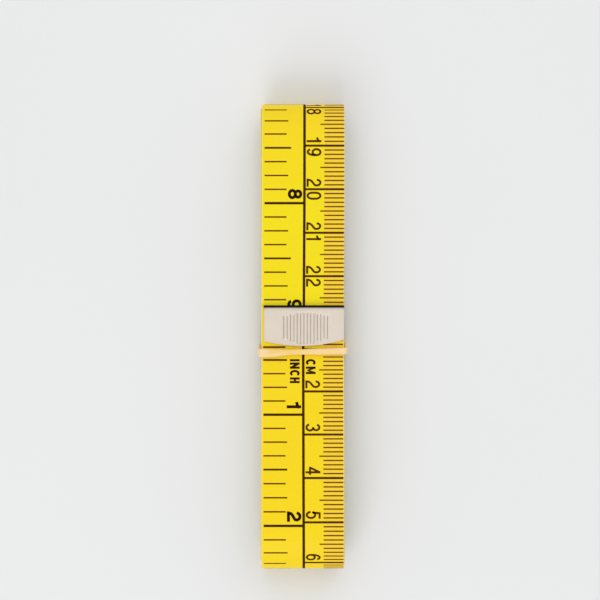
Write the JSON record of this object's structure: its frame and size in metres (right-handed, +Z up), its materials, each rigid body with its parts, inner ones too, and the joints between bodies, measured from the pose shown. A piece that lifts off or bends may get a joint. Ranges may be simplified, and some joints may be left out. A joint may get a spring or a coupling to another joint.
{
  "type": "cloth tape measure",
  "caption": "Soft cloth tape measure wound flat into a bundle, with a folded metal clip on each end and a rubber band round its waist.",
  "frame": {"origin": "on the resting plane, under the middle of the bundle", "axes": "+Y along the bundle, the way the free end of the tape points; +X across the tape; +Z up, out of the printed face"},
  "size_m": [0.0208, 0.1076, 0.0136],
  "materials": {
    "tape_cloth": "smooth coated cloth, satin",
    "clip_metal": "nickel plated, satin",
    "band_rubber": "natural rubber, matt"
  },
  "bodies": {
    "winding": {"tape": "tape_cloth", "inner_end_clip": "clip_metal"},
    "free_end": {"tape_free_end": "tape_cloth", "outer_end_clip": "clip_metal"},
    "band": {"rubber_band": "band_rubber"}
  },
  "joints": [
    {"name": "free_end_lift", "type": "hinge", "parent": "winding", "child": "free_end", "pos_m": [0, -0.00255, 0.01199], "axis": [1, 0, 0], "range_deg": [0, 75], "stiffness_Nm_per_rad": 0.001},
    {"name": "band_slide", "type": "slide", "parent": "winding", "child": "band", "axis": [0, -1, 0], "range_m": [0, 0.055], "deforming": ["rubber_band"]}
  ]
}
